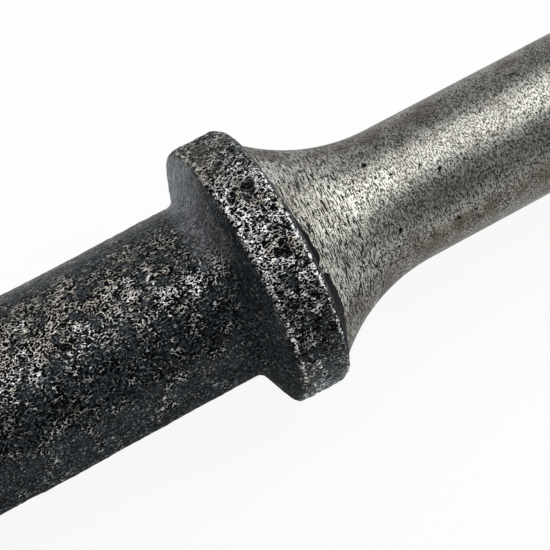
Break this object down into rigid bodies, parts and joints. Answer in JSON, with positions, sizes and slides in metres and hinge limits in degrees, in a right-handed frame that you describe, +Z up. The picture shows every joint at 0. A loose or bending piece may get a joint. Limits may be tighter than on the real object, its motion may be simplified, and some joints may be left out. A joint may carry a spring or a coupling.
{
  "type": "forked separator chisel bit",
  "caption": "Steel chisel bit for an air hammer: a wedge-shaped fork on a round stem, with a retaining collar, a hollow flare and a ground straight shank.",
  "frame": {"origin": "centre of the struck face at the free end of the shank", "axes": "+X out of the struck face along the bit's axis, so that the fork's tips point to -X; +Y towards the right tine; +Z up, square to the fork, with the bit lying flat"},
  "size_m": [0.1891, 0.038, 0.0196],
  "materials": {
    "ground_steel": "ground, handled and lightly pitted",
    "black_scale": "black forging scale and lacquer, worn through to grey steel"
  },
  "bodies": {
    "root": {"shank": "ground_steel", "flare": "ground_steel", "retaining_collar": "black_scale", "stem": "black_scale", "fork_head": "black_scale", "left_tine": "black_scale", "right_tine": "black_scale"}
  },
  "joints": []
}
